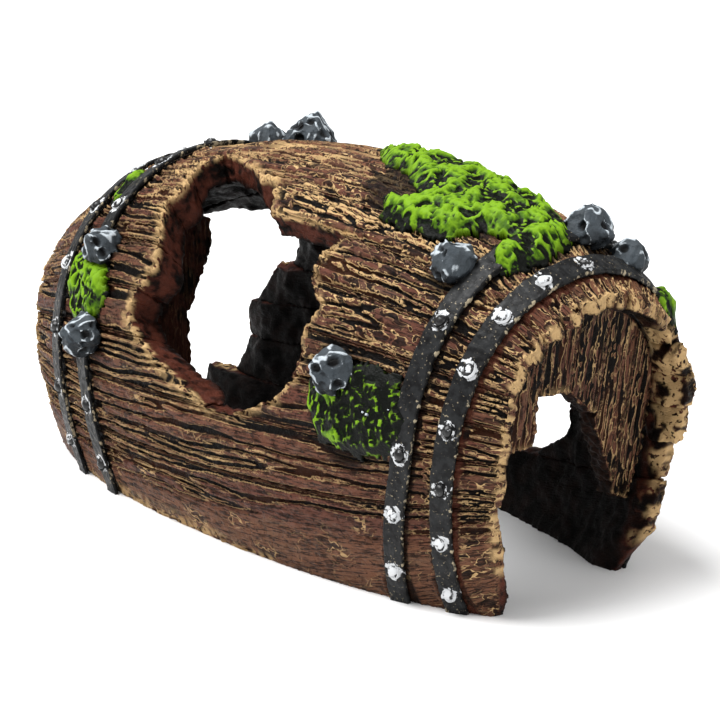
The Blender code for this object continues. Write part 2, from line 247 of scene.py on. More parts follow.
# ---- maps over the unrolled skin: how far a place is from an edge ----
mapping = {
    "cell": 0.4,              # millimetres
    "lowU": -92.0, "highU": 96.0,
    "lowS": -80.0, "highS": 80.0,
    "steps": 16,              # how many cells a distance is followed
    "closing": 1.5,           # gaps up to this many cells are closed
    "skinBand": 0.0022,       # what lies this near the skin marks the map
}


def unrolled(turn):
    return (turn - math.pi / 2) * barrel["unrolled"] / mm


def mapCells(u, turn):
    column = (u / mm - mapping["lowU"]) / mapping["cell"]
    row = (unrolled(turn) - mapping["lowS"]) / mapping["cell"]
    return column, row


def shifted(grid, rowStep, columnStep, fill):
    moved = np.full_like(grid, fill)
    rows, columns = grid.shape
    moved[max(rowStep, 0):rows + min(rowStep, 0), max(columnStep, 0):columns + min(columnStep, 0)] = \
        grid[max(-rowStep, 0):rows + min(-rowStep, 0), max(-columnStep, 0):columns + min(-columnStep, 0)]
    return moved


def distanceFrom(marked):
    distance = np.where(marked, 0.0, np.inf)
    for _ in range(mapping["steps"]):
        for rowStep, columnStep in np.ndindex(3, 3):
            rowStep, columnStep = rowStep - 1, columnStep - 1
            step = mapping["cell"] * math.hypot(rowStep, columnStep)
            distance = np.minimum(distance, shifted(distance, rowStep, columnStep, np.inf) + step)
    return np.minimum(distance, mapping["steps"] * mapping["cell"])


def coverMap(pieces):
    columns = int((mapping["highU"] - mapping["lowU"]) / mapping["cell"])
    rows = int((mapping["highS"] - mapping["lowS"]) / mapping["cell"])
    cover = np.zeros((rows, columns), bool)
    for points in pieces:
        u, turn, depth = toSkin(points)
        near = np.abs(depth) < mapping["skinBand"]
        column, row = mapCells(u[near], turn[near])
        column = np.clip(np.round(column).astype(int), 0, columns - 1)
        row = np.clip(np.round(row).astype(int), 0, rows - 1)
        cover[row, column] = True
    closing = mapping["closing"] * mapping["cell"]
    return distanceFrom(distanceFrom(cover) > closing) > closing


def sample(grid, u, turn):
    column, row = mapCells(u, turn)
    column = np.clip(column, 0, grid.shape[1] - 1.001)    # short of the last cell, which has no neighbour
    row = np.clip(row, 0, grid.shape[0] - 1.001)
    i, j = row.astype(int), column.astype(int)
    a, b = row - i, column - j
    return (grid[i, j] * (1 - a) * (1 - b) + grid[i + 1, j] * a * (1 - b)
            + grid[i, j + 1] * (1 - a) * b + grid[i + 1, j + 1] * a * b)


# ---- shader helpers ----
def srgb(red, green, blue):
    return (*[(v / 255 / 12.92) if v < 11 else ((v / 255 + 0.055) / 1.055) ** 2.4
              for v in (red, green, blue)], 1)


def plug(tree, value, socket):
    if isinstance(value, bpy.types.NodeSocket):
        tree.links.new(value, socket)
    else:
        socket.default_value = value


def calc(tree, operation, *values):
    node = tree.nodes.new("ShaderNodeMath")
    node.operation = operation
    for value, socket in zip(values, node.inputs):
        plug(tree, value, socket)
    return node.outputs[0]


def times(tree, first, second):
    return calc(tree, "MULTIPLY", first, second)


def plus(tree, first, second):
    return calc(tree, "ADD", first, second)


def fade(tree, value, low, high, toLow=0.0, toHigh=1.0):
    node = tree.nodes.new("ShaderNodeMapRange")
    node.interpolation_type = "SMOOTHSTEP"
    for given, socket in zip((value, low, high, toLow, toHigh), node.inputs):
        plug(tree, given, socket)
    return node.outputs[0]


def blend(tree, share, first, second):
    node = tree.nodes.new("ShaderNodeMix")
    node.data_type = "RGBA"
    plug(tree, share, node.inputs[0])
    plug(tree, first, node.inputs[6])
    plug(tree, second, node.inputs[7])
    return node.outputs[2]


def stretch(tree, vector, x, y=1.0, z=1.0):
    node = tree.nodes.new("ShaderNodeVectorMath")
    node.operation = "MULTIPLY"
    plug(tree, vector, node.inputs[0])
    node.inputs[1].default_value = (x, y, z)
    return node.outputs[0]


def grain(tree, vector, scale, detail=3.0, roughness=0.55):
    node = tree.nodes.new("ShaderNodeTexNoise")
    plug(tree, vector, node.inputs["Vector"])
    for name, value in (("Scale", scale), ("Detail", detail), ("Roughness", roughness)):
        node.inputs[name].default_value = value
    return node.outputs[0]


def fromMesh(tree, name, output="Fac"):
    node = tree.nodes.new("ShaderNodeAttribute")
    node.attribute_name = name
    return node.outputs[output]


def objectPlace(tree):
    return tree.nodes.new("ShaderNodeTexCoord").outputs["Object"]


def newMaterial(name, roughness, specular):
    material = bpy.data.materials.new(name)
    material.use_nodes = True
    shader = material.node_tree.nodes["Principled BSDF"]
    shader.inputs["Roughness"].default_value = roughness
    shader.inputs["Specular IOR Level"].default_value = specular
    return material, material.node_tree, shader


def coat(tree, shader, colour, height, strength, distance):
    tree.links.new(colour, shader.inputs["Base Color"])
    node = tree.nodes.new("ShaderNodeBump")
    node.inputs["Strength"].default_value = strength
    node.inputs["Distance"].default_value = distance
    tree.links.new(height, node.inputs["Height"])
    tree.links.new(node.outputs[0], shader.inputs["Normal"])


def newGroup(name, inputs, outputs):
    group = bpy.data.node_groups.new(name, "ShaderNodeTree")
    for label, kind, value in inputs:
        socket = group.interface.new_socket(name=label, in_out="INPUT", socket_type=kind)
        if value is not None:
            socket.default_value = value
    for label, kind in outputs:
        group.interface.new_socket(name=label, in_out="OUTPUT", socket_type=kind)
    return group, group.nodes.new("NodeGroupInput").outputs, group.nodes.new("NodeGroupOutput").inputs


def useGroup(tree, group, **values):
    node = tree.nodes.new("ShaderNodeGroup")
    node.node_tree = group
    for name, value in values.items():
        plug(tree, value, node.inputs[name])
    return node.outputs


def makeDryBrush():
    group, given, result = newGroup(
        "dryBrush",
        [("Vector", "NodeSocketVector", None), ("Crest", "NodeSocketFloat", 0.0),
         ("Scale", "NodeSocketFloat", 1.0), ("Ragged", "NodeSocketFloat", 0.1),
         ("Low", "NodeSocketFloat", 0.1), ("High", "NodeSocketFloat", 0.2)],
        [("Crests", "NodeSocketFloat"), ("Hollows", "NodeSocketFloat")])
    noisy = group.nodes.new("ShaderNodeTexNoise")
    noisy.inputs["Detail"].default_value = 4.0
    noisy.inputs["Roughness"].default_value = 0.6
    group.links.new(given["Vector"], noisy.inputs["Vector"])
    group.links.new(given["Scale"], noisy.inputs["Scale"])
    wander = times(group, calc(group, "SUBTRACT", noisy.outputs[0], 0.5), given["Ragged"])
    level = plus(group, given["Crest"], wander)
    group.links.new(fade(group, level, given["Low"], given["High"]), result["Crests"])
    below = times(group, level, -1.0)
    group.links.new(fade(group, below, given["Low"], given["High"]), result["Hollows"])
    return group


def makeWorms():
    group, given, result = newGroup(
        "wormLines",
        [("Vector", "NodeSocketVector", None), ("Scale", "NodeSocketFloat", 1.0),
         ("Width", "NodeSocketFloat", 0.02)],
        [("Lines", "NodeSocketFloat"), ("Beds", "NodeSocketFloat")])
    noisy = group.nodes.new("ShaderNodeTexNoise")
    noisy.inputs["Detail"].default_value = 1.5
    noisy.inputs["Distortion"].default_value = 0.6
    group.links.new(given["Vector"], noisy.inputs["Vector"])
    group.links.new(given["Scale"], noisy.inputs["Scale"])
    offset = calc(group, "SUBTRACT", noisy.outputs[0], 0.52)
    lines = fade(group, calc(group, "ABSOLUTE", offset), given["Width"], times(group, given["Width"], 0.4))
    group.links.new(lines, result["Lines"])
    group.links.new(fade(group, offset, 0.02, 0.05), result["Beds"])
    return group


dryBrush = makeDryBrush()
worms = makeWorms()

# ---- painted wood ----
# the dark wash colour serves the cracks, hollows and streaks, and also the painted shade beside the hoops
# and around the moss and stones
woodPaint = {
    "brown": srgb(84, 53, 42), "red": srgb(88, 53, 42), "grey": srgb(84, 66, 54),
    "light": srgb(122, 88, 60), "washAndShade": srgb(7, 4, 3), "rust": srgb(92, 46, 18),
    "ochre": srgb(184, 153, 108), "inside": srgb(6, 4, 3), "dusk": srgb(26, 16, 13),
    "cut": srgb(74, 38, 28),
}


def makeWood(name):
    material, tree, shader = newMaterial(name, 0.5, 0.07)
    paint = woodPaint
    place = fromMesh(tree, "place", "Vector")      # millimetres over the unrolled skin
    crest, worn, edge = fromMesh(tree, "crest"), fromMesh(tree, "worn"), fromMesh(tree, "edge")
    fineness = fromMesh(tree, "fineness")
    alongGrain = stretch(tree, place, 0.22)
    patches = grain(tree, alongGrain, 0.12)
    colour = blend(tree, fade(tree, patches, 0.38, 0.62), paint["brown"], paint["red"])
    greyer = grain(tree, alongGrain, 0.35, 4.0)
    colour = blend(tree, fade(tree, greyer, 0.5, 0.68, 0.0, 0.6), colour, paint["grey"])
    # lighter brown: a tone that differs from stave to stave and board to board, and a painted highlight
    # along the top of the barrel
    colour = blend(tree, fromMesh(tree, "tone"), colour, paint["light"])
    streaks = grain(tree, stretch(tree, place, 0.10), 2.6, 4.0, 0.65)
    colour = blend(tree, fade(tree, streaks, 0.54, 0.40, 0.0, 0.85), colour, paint["washAndShade"])
    specks = grain(tree, stretch(tree, place, 0.6), 1.6, 2.0)
    colour = blend(tree, fade(tree, specks, 0.60, 0.68, 0.0, 0.8), colour, paint["washAndShade"])
    # worn, worm-eaten lines of ochre on the tops of the ridges
    worm = useGroup(tree, worms, Vector=stretch(tree, place, 0.6), Scale=0.62, Width=0.030)
    patchy = fade(tree, grain(tree, alongGrain, 0.33), 0.40, 0.60)
    wormy = times(tree, worm["Lines"], times(tree, fade(tree, worn, 0.05, 0.4), patchy))
    beds = times(tree, worm["Beds"], fade(tree, worn, 0.1, 0.5, 0.2, 0.8))
    colour = blend(tree, beds, colour, paint["washAndShade"])
    colour = blend(tree, wormy, colour, paint["ochre"])
    # cracks: black down in them, ochre along their lips
    wander = times(tree, calc(tree, "SUBTRACT", grain(tree, place, 1.3), 0.5), 0.55)
    byBroad = plus(tree, calc(tree, "ABSOLUTE", fromMesh(tree, "broadCrack")),
                   fade(tree, fineness, 0.35, 0.75, 0.0, 1.2))
    byFine = plus(tree, calc(tree, "ABSOLUTE", fromMesh(tree, "fineCrack")),
                  fade(tree, fineness, 0.25, 0.65, 1.2, 0.0))
    away = calc(tree, "MINIMUM", calc(tree, "MINIMUM", byBroad, byFine), fromMesh(tree, "joint"))
    away = plus(tree, plus(tree, away, wander), fromMesh(tree, "whole"))
    lip = times(tree, fade(tree, away, 0.42, 0.48), fade(tree, away, 0.66, 0.54))
    lip = times(tree, lip, fade(tree, worn, 0.0, 0.6, 0.65, 1.0))
    lip = times(tree, lip, fade(tree, grain(tree, alongGrain, 0.6), 0.38, 0.52, 0.1, 1.0))
    colour = blend(tree, lip, colour, paint["ochre"])
    rusty = blend(tree, fade(tree, patches, 0.50, 0.60), paint["washAndShade"], paint["rust"])
    colour = blend(tree, fade(tree, away, 0.58, 0.34), colour, blend(tree, 0.2, paint["washAndShade"], rusty))
    # dry brush by the carved shape
    brushed = useGroup(tree, dryBrush, Vector=place, Crest=crest, Scale=1.7, Ragged=0.60,
                       Low=0.27, High=0.32)
    strength = times(tree, brushed["Crests"], fade(tree, worn, 0.0, 0.7, 0.25, 0.9))
    colour = blend(tree, strength, colour, paint["ochre"])
    colour = blend(tree, times(tree, brushed["Hollows"], 0.85), colour, paint["washAndShade"])
    # cut faces, broken edges in thick ochre with dark pits, and painted shade inside the barrel:
    # near-black, mottled with dark brown
    smoothCut = blend(tree, fade(tree, grain(tree, objectPlace(tree), 300.0), 0.4, 0.65),
                      paint["cut"], paint["washAndShade"])
    colour = blend(tree, fromMesh(tree, "cut"), colour, smoothCut)
    pits = fade(tree, grain(tree, place, 0.7), 0.54, 0.60)
    rim = times(tree, edge, calc(tree, "SUBTRACT", 1.0, pits))
    colour = blend(tree, times(tree, rim, 0.9), colour, paint["ochre"])
    murky = fade(tree, grain(tree, objectPlace(tree), 230.0, 4.0), 0.42, 0.68)
    colour = blend(tree, fromMesh(tree, "inside"), colour,
                   blend(tree, murky, paint["inside"], paint["dusk"]))
    # painted shade beside the hoops and around the moss and stones, with the far rim's dark cracks
    colour = blend(tree, fromMesh(tree, "shade"), colour, paint["washAndShade"])
    glossy = grain(tree, place, 0.8)
    tree.links.new(fade(tree, glossy, 0.3, 0.7, 0.40, 0.64), shader.inputs["Roughness"])
    bumps = plus(tree, grain(tree, stretch(tree, place, 0.18), 2.4, 4.0, 0.65),
                 times(tree, grain(tree, place, 2.2), 0.6))
    bumps = plus(tree, calc(tree, "SUBTRACT", bumps, beds), times(tree, wormy, 0.5))
    coat(tree, shader, colour, bumps, 0.8, 0.0004)
    return material


woodMaterial = makeWood("paintedWood")
print("paint mixed")

# ---- staves ----
staves = {
    "voxel": 0.00045, "patternVoxel": 0.0004,
    # lengths below are in millimetres
    "broadPitch": 2.4, "broadRun": 75,      # between grooves and along one, roughly
    "finePitch": 2.4, "fineRun": 24,
    "hairPitch": 0.9, "hairRun": 30, "hairDepth": 0.22,
    "broadDepth": 1.0, "fineDepth": 0.95, "pitDepth": 0.28,
    "lipLift": 0.12, "crackHalf": 0.72,
    "slice": 4, "slices": 47,               # a stave's two long edges are found slice by slice
    "roundEnd": 2.2,                        # how far a broken end is rounded
    "sideSwell": 0.25,                      # closes the joints between neighbours
    "hoopBead": 0.35, "beadAt": 0.9, "beadHalf": 0.45,    # the raised lip beside a hoop
    "innerLumps": 0.9, "cutRagged": 0.55,
    "flare": 3.8, "flareReach": 8,          # the near hole's rear edge opens inwards
    "holeFrom": -45,                        # and crumbles only in front of this place
    "rimBump": 1.5, "rimBumpAt": 163, "rimBumpHalf": 9,   # height, and degrees round the far rim
    "strip": 70.1, "stripLean": (5.8, 6.2),               # the red wood in front of the front hoop
}
staveNames = sorted(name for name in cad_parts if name.startswith("stave_"))
stavePieces = {name: copyNode(name, name.replace("stave", "plank")) for name in staveNames}
for piece in stavePieces.values():
    remesh(piece, staves["voxel"])
woodCover = coverMap([readPoints(piece.data) for piece in stavePieces.values()])
openDistance = distanceFrom(~woodCover)
print("staves cut")


def coverOf(names):
    shells = []
    for name in names:
        copy = copyNode(name, "pattern")
        remesh(copy, staves["patternVoxel"])
        shells.append(readPoints(copy.data))
        bpy.data.objects.remove(copy)
    return shells


hoopNames = [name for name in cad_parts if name.startswith("hoop_")]
hoopDistance = distanceFrom(coverMap(coverOf(hoopNames)))
lumpNames = [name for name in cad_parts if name.startswith(("moss", "stone"))]
lumpDistance = distanceFrom(coverMap(coverOf(lumpNames)))


# a signed distance in millimetres from the lines where a stretched noise is nought
def crackField(along, around, pitch, run, seed):
    def field(across):
        coarse = noise(along / run, across / pitch, seed)
        return coarse + 0.4 * noise(along / run * 3, across / pitch * 2.1, seed + 9)
    step, flattest, farthest = 0.15, 0.25, 1.5
    slope = np.abs(field(around + step) - field(around - step)) / (2 * step)
    return np.clip(field(around) / np.maximum(slope, flattest / pitch), -farthest, farthest)


def carveStave(name, piece, number):
    mesh = piece.data
    points, normals = readPoints(mesh), readNormals(mesh)
    u, turn, depth = toSkin(points)
    along, around = u / mm, unrolled(turn)
    outward = (fromSkin(u, turn, depth - mm) - fromSkin(u, turn, depth)) / mm
    outward /= np.linalg.norm(outward, axis=1)[:, None]
    facing = (normals * outward).sum(1)
    wall = barrel["wall"]
    outer = smooth(0.45, 0.75, facing) * (depth < 0.4 * wall)
    inner = smooth(0.3, 0.7, -facing) * (depth > 0.4 * wall)
    side = 1 - np.maximum(outer, inner)
    degrees = np.degrees(turn)
    opening = sample(openDistance, u, turn)
    byHoop = sample(hoopDistance, u, turn)
    byLump = sample(lumpDistance, u, turn)

    # joint grooves: distance to this stave's own long edges
    topSet = depth < 0.3 * wall
    slices = staves["slices"]
    sliceOf = np.clip(((along - mapping["lowU"]) / staves["slice"]).astype(int), 0, slices - 1)
    lowest, highest = np.full(slices, 1e9), np.full(slices, -1e9)
    np.minimum.at(lowest, sliceOf[topSet], around[topSet])
    np.maximum.at(highest, sliceOf[topSet], around[topSet])
    jointGap = np.minimum(around - lowest[sliceOf], highest[sliceOf] - around)

    # how fine the grain is here: finer towards the upper front
    fineness = smooth(24, 40, degrees) * smooth(-8, 14, along) * (1 - smooth(60, 80, degrees))
    fineness = np.maximum(fineness, smooth(62, 67, along) * 0.7)
    fineness = np.maximum(fineness, smooth(95, 120, degrees) * 0.35)
    offset = number * 7.3
    sway = noise(along / 30, around / 12, offset) + 0.3 * noise(along / 9, around / 5, offset + 3)
    broad = crackField(along, around + sway, staves["broadPitch"], staves["broadRun"], offset)
    fine = crackField(along, around + sway, staves["finePitch"], staves["fineRun"], offset + 21)
    torn = 0.10 * noise(along / 1.3, around, offset + 33)
    torn += 0.10 * noise(along / 3.1, around / 2.0, offset + 35)
    byBroad = np.abs(broad) + torn + 1.2 * smooth(0.35, 0.75, fineness)
    byFine = np.abs(fine) + torn + 1.2 * smooth(0.65, 0.25, fineness)
    byJoint = jointGap + torn
    byCrack = np.minimum(np.minimum(byBroad, byFine), byJoint)
    hair = np.abs(crackField(along, around + sway, staves["hairPitch"], staves["hairRun"], offset + 57))
    hair += 0.15 * noise(along / 4, around / 2, offset)
    halfWidth = staves["crackHalf"] * (1 + 0.5 * noise(along / 16, around / 4, offset + 37))
    relief = smooth(0.0, 1.0, (byCrack - 0.3 * halfWidth) / halfWidth)
    calm = smooth(-19, -27, degrees) * 0.8       # the lowest stave is nearly smooth
    relief = relief * (1 - calm) + calm
    dip = staves["broadDepth"] * (1 - fineness) + staves["fineDepth"] * fineness
    lift = -dip * (1 - relief) ** 1.3
    lift += staves["lipLift"] * np.exp(-((relief - 0.75) / 0.2) ** 2)
    lift += 0.10 * noise(along / 2.6, around / 1.3, offset + 41) + 0.22 * noise(along / 14, around / 7, 5)
    lift -= staves["hairDepth"] * smooth(0.22, 0.05, hair) * (1 - calm)
    pitted = smooth(0.22, 0.42, noise(along / 1.9, around / 1.2, offset + 51))
    lift -= staves["pitDepth"] * pitted * (0.3 + 0.7 * fineness)
    # broken edges crumble and round over
    crumbly = smooth(8, 0, along) * smooth(75, 60, degrees) * (along > staves["holeFrom"])
    reach = staves["roundEnd"] * (1 + 0.8 * crumbly - 0.35 * smooth(64, 70, along))
    nearEdge = 1 - smooth(0, reach, opening)
    lift += nearEdge * (0.55 * noise(along / 1.5, around / 1.5, 61) - 0.35)
    # a raised lip beside each hoop and a bed under it
    bead = np.exp(-((byHoop - staves["beadAt"]) / staves["beadHalf"]) ** 2)
    lift += staves["hoopBead"] * bead * (byHoop > 0.2)
    lift = np.where(byHoop < 0.3, np.minimum(lift, 0) * 0.4 - 0.1, lift)
    newDepth = np.where(outer > 0, depth * (1 - outer) - outer * lift * mm, depth)

    # the inside: lumpy, and the cut faces ragged
    lumps = noiseIn(points, 0.006) + 0.5 * noiseIn(points, 0.0026)
    moved = fromSkin(u, turn, newDepth)
    moved += normals * (inner * (staves["innerLumps"] * lumps + 0.1) * mm)[:, None]
    ragged = staves["cutRagged"] * noiseIn(points, 0.0021) + 0.3 * noiseIn(points, 0.001)
    isCut = side * (1 - smooth(0.5, 1.6, opening))
    moved += normals * (isCut * (ragged + 0.1) * mm)[:, None]
    seam = side * (1 - isCut) * smooth(0.6, 1.2, depth / mm)
    moved += normals * (seam * staves["sideSwell"] * mm)[:, None]
    # the cut flares at the hole's rear edge, and the far rim has a bump
    flare = staves["flare"] * crumbly * (1 - smooth(0, staves["flareReach"], opening))
    flare *= np.clip(depth / wall, 0, 1)
    bump = staves["rimBump"] * np.exp(-((degrees - staves["rimBumpAt"]) / staves["rimBumpHalf"]) ** 2)
    bump *= smooth(68, 76, along)
    moved += outward * ((bump - flare) * mm)[:, None]
    onFloor = (points[:, 2] < 0.0008) & (normals[:, 2] < -0.6)
    moved[:, 2] = np.where(onFloor, 0.0, np.maximum(moved[:, 2], 0.0))
    writePoints(mesh, moved)

    crest = crestOf(mesh)
    deep = depth / mm
    atRim = isCut * np.maximum(smooth(60, 66, along), smooth(-66, -72, along))
    cut = np.clip(isCut + smooth(0.9, 1.8, deep), 0, 1) * (1 - atRim)
    # painted shade: the inside of the barrel darkened on the inner faces and deeper in the wall, and at
    # the rims' inner faces, but not on the far rim
    innerShade = np.clip(inner + smooth(4.2, 5.6, deep) + 0.6 * atRim * smooth(3.0, 4.2, deep), 0, 1)
    farRim = smooth(68, 72, along) * smooth(118, 140, degrees) * (deep > 0.5)
    innerShade *= 1 - farRim
    worn = 0.08 + 0.45 * fineness + 0.40 * nearEdge + 0.20 * smooth(50, 82, degrees)
    worn += 0.50 * noise(along / 9, around / 5, offset + 71)
    worn = np.clip(worn, 0, 1) * (1 - cut)
    blotch = noise(along / 2.2, around / 2.2, 83)
    edge = nearEdge * smooth(-0.25, 0.2, blotch + 0.1) * (1 - smooth(0.6, 1.4, deep))
    edge = np.maximum(edge, atRim * smooth(4.4, 3.0, deep) * smooth(-0.35, 0.1, blotch))
    cracked = noise(along / 5, around / 5, 91) + 0.4 * noise(along / 1.6, around / 1.6, 93)
    flaked = smooth(71, 76, along + 4 * cracked) * smooth(-0.25, 0.05, cracked)
    edge = np.maximum(edge * (1 - farRim), farRim * flaked)
    hoopLine = staves["strip"] + np.where(turn > 0, *staves["stripLean"]) * np.sin(turn)
    strip = smooth(hoopLine, hoopLine + 1, along) * smooth(1.0, 0.7, byHoop)
    nearTop = deep < 1.5
    worn, cut = worn * (1 - strip), np.maximum(cut, 0.8 * strip * nearTop)
    # painted shade: darker beside the hoops (a painted cast shadow, left off the red strip in front of the
    # front hoop) and around the moss and stones, on the outer face only; on the far rim it adds dark
    # cracks
    shade = 0.85 * (1 - smooth(0.1, 1.3, byHoop)) * (1 - strip) + 0.85 * (1 - smooth(0.0, 2.0, byLump))
    shade = np.clip(shade, 0, 0.92) * nearTop
    shade = np.maximum(shade, 0.9 * farRim * smooth(0.0, -0.2, cracked))
    # lighter paint: on the lowest stave, a painted highlight along the top of the barrel, and a tone that
    # differs from stave to stave
    tone = np.clip(0.35 * calm + 0.40 * smooth(66, 86, degrees) * smooth(150, 120, degrees)
                   + 0.14 * math.sin(number * 2.1), 0, 1)
    writePlaces(mesh, "place", np.stack([along, around, deep + number * 3], 1))
    solid = np.where(outer > 0.3, 0.0, 2.0)
    writeValues(mesh, crest=crest, worn=worn, edge=edge, inside=innerShade, cut=cut, shade=shade,
                tone=tone, broadCrack=broad, fineCrack=fine, joint=jointGap + solid,
                fineness=fineness, whole=np.clip(solid + 1.2 * calm, 0, 2))


for number, (name, piece) in enumerate(stavePieces.items()):
    carveStave(name, piece, number)
    finishPiece(piece, woodMaterial, "stave_wood", name)
print("staves carved")

# ---- barrel heads: upright boards ----
heads = {
    "voxel": 0.0004,
    "pitch": 1.1, "run": 26, "depth": 0.55,    # millimetres
    "endRagged": 0.6, "sideSwell": 0.25,
}
headNames = sorted(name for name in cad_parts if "_head_board_" in name)


def carveBoard(name, piece, number):
    mesh = piece.data
    points, normals = readPoints(mesh), readNormals(mesh)
    x, y, z = points.T / mm
    low, high = points.min(0) / mm, points.max(0) / mm
    offset = 40 + number * 5.1
    sway = 0.8 * noise(z / 14, y / 6, offset) + 0.25 * noise(z / 5, y / 3, offset + 2)
    crack = crackField(z, y + sway, heads["pitch"], heads["run"], offset + 7)
    acrossGap = np.minimum(y - low[1], high[1] - y)
    torn = 0.12 * noise(z / 1.5, y / 1.1, offset + 13)
    relief = smooth(0.1, 0.55, np.minimum(np.abs(crack), acrossGap) + torn)
    flat = smooth(0.5, 0.8, np.abs(normals[:, 0]))
    lift = -heads["depth"] * (1 - relief) + 0.12 * noise(z / 3, y / 1.5, offset + 17) \
        + 0.25 * noise(z / 12, y / 6, 9)
    ends = 1 - flat
    ragged = heads["endRagged"] * noise(x / 1.6, y / 1.6, z / 1.6) + 0.25 * noise(x, y, z)
    moved = points + normals * ((flat * lift + ends * ragged) * mm)[:, None]
    sides = ends * smooth(0.5, 0.9, np.abs(normals[:, 1]))
    moved += normals * (sides * heads["sideSwell"] * mm)[:, None]
    moved[:, 2] = np.maximum(moved[:, 2], 0)
    writePoints(mesh, moved)
    crest = crestOf(mesh)
    fromEnd = smooth(2.2, 0.3, z - low[2])
    front = "front" in name
    out = (normals[:, 0] > 0.3) if front else (normals[:, 0] < -0.3)
    worn = np.clip(0.10 + 0.35 * noise(z / 6, y / 4, offset + 19) + 0.5 * fromEnd, 0, 1) * out
    solid = np.where(flat > 0.3, 0.0, 2.0)
    writePlaces(mesh, "place", np.stack([z, y, x * 0.3 + number * 5], 1))
    # painted shade on the boards' inner faces, heavier on the front head's
    writeValues(mesh, crest=crest, worn=worn, edge=0.3 * fromEnd * out,
                cut=np.where(out | front, 0.0, 0.7), inside=np.where(out, 0.0, 0.85 if front else 0.15),
                shade=0.0, tone=0.05 + 0.1 * math.sin(number * 1.7),
                broadCrack=1.5, fineCrack=crack, joint=acrossGap + solid, fineness=1.0, whole=solid)


for number, name in enumerate(headNames):
    piece = copyNode(name, name.replace("board", "plank"))
    remesh(piece, heads["voxel"])
    carveBoard(name, piece, number)
    finishPiece(piece, woodMaterial, "head_wood", name)
print("heads carved")

# ---- iron hoops and their rivets ----
hoops = {
    "voxel": 0.0003,
    "top": -1.2, "under": -0.3,   # millimetres of depth: the band's outer face and its inner one
    "dents": 0.10, "bends": 0.12, "waver": 0.14,
    "tipProud": 0.6,              # a rivet's tip stands this far above the band
    "rivetRadius": 0.00125, "rivetHeight": 0.0010, "rivetSides": 20,
    "ringWidth": 0.00045, "ringHeight": 0.0006, "ringDip": 0.00025,
    # the head's steps: how far each draws in, and its share of the height
    "crown": ((0.00008, 0.45), (0.00035, 0.30), (0.0005, 0.17), (0.0004, 0.08)),
    "roughness": 0.00012, "roughSize": 0.0009, "rivetSink": 0.0001,
    "iron": srgb(28, 29, 30), "dark": srgb(10, 10, 11), "silver": srgb(196, 198, 200),
    "chipped": srgb(158, 146, 122),
}


def makeIron():
    material, tree, shader = newMaterial("paintedIron", 0.5, 0.13)
    place = fromMesh(tree, "place", "Vector")
    colour = blend(tree, fade(tree, grain(tree, place, 0.5, 4.0), 0.4, 0.62), hoops["iron"], hoops["dark"])
    specks = fade(tree, grain(tree, place, 1.9, 2.0), 0.66, 0.70)
    colour = blend(tree, times(tree, specks, 0.6), colour, hoops["chipped"])
    brushed = useGroup(tree, dryBrush, Vector=place, Crest=fromMesh(tree, "border"), Scale=0.9,
                       Ragged=1.3, Low=0.70, High=0.86)
    colour = blend(tree, brushed["Crests"], colour, hoops["chipped"])
    dabs = useGroup(tree, dryBrush, Vector=place, Crest=fromMesh(tree, "dab"), Scale=0.8,
                    Ragged=1.6, Low=0.45, High=0.55)
    colour = blend(tree, dabs["Crests"], colour, hoops["silver"])
    rough = fade(tree, grain(tree, place, 1.2), 0.3, 0.7, 0.36, 0.6)
    tree.links.new(rough, shader.inputs["Roughness"])
    coat(tree, shader, colour, grain(tree, place, 1.6, 4.0), 0.45, 0.0002)
    return material


def makeRivetPaint():
    material, tree, shader = newMaterial("rivetSilver", 0.35, 0.4)
    place = stretch(tree, objectPlace(tree), 1000.0, 1000.0, 1000.0)
    silver = fromMesh(tree, "silver")
    brushed = useGroup(tree, dryBrush, Vector=place, Crest=silver, Scale=0.75, Ragged=1.5,
                       Low=0.40, High=0.52)
    colour = blend(tree, brushed["Crests"], hoops["dark"], hoops["silver"])
    coat(tree, shader, colour, grain(tree, place, 1.4), 0.4, 0.0002)
    return material


ironMaterial = makeIron()
rivetMaterial = makeRivetPaint()


def modelRivet():
    bpy.ops.object.select_all(action="DESELECT")
    radius = hoops["rivetRadius"]
    bpy.ops.mesh.primitive_cylinder_add(vertices=hoops["rivetSides"], radius=radius + hoops["ringWidth"],
                                        depth=hoops["ringHeight"])
    rivet = bpy.context.object
    faces = rivet.data.polygons
    selectWhere("FACE", faces, [face.normal.z > 0.9 for face in faces])
    bpy.ops.mesh.inset(thickness=hoops["ringWidth"])
    bpy.ops.transform.translate(value=(0, 0, -hoops["ringDip"]))
    for drawIn, share in hoops["crown"]:
        rise = hoops["rivetHeight"] * share
        bpy.ops.mesh.extrude_region_move(TRANSFORM_OT_translate={"value": (0, 0, rise)})
        bpy.ops.transform.resize(value=(1 - drawIn / radius, 1 - drawIn / radius, 1))
    bpy.ops.object.mode_set(mode="OBJECT")
    return rivet


rivetPattern = modelRivet()


def placeRivet(centre, normal, number):
    rivet = addObject("rivet", rivetPattern.data.copy())
    points = readPoints(rivet.data)
    x, y, z = points.T
    silver = 0.30 + 0.22 * math.sin(number * 5.1) + 0.14 * (z > 0.0007) \
        + 0.25 * (np.hypot(x, y) > hoops["rivetRadius"] * 1.02)
    size = hoops["roughSize"]
    points += hoops["roughness"] * np.stack([noise(x / size, y / size, number + k) for k in range(3)], 1)
    turnTo = normal.to_track_quat("Z", "Y").to_matrix()
    points = points @ np.array(turnTo).T + np.array(centre)
    writePoints(rivet.data, points)
    writeValues(rivet.data, silver=silver)
    return rivet


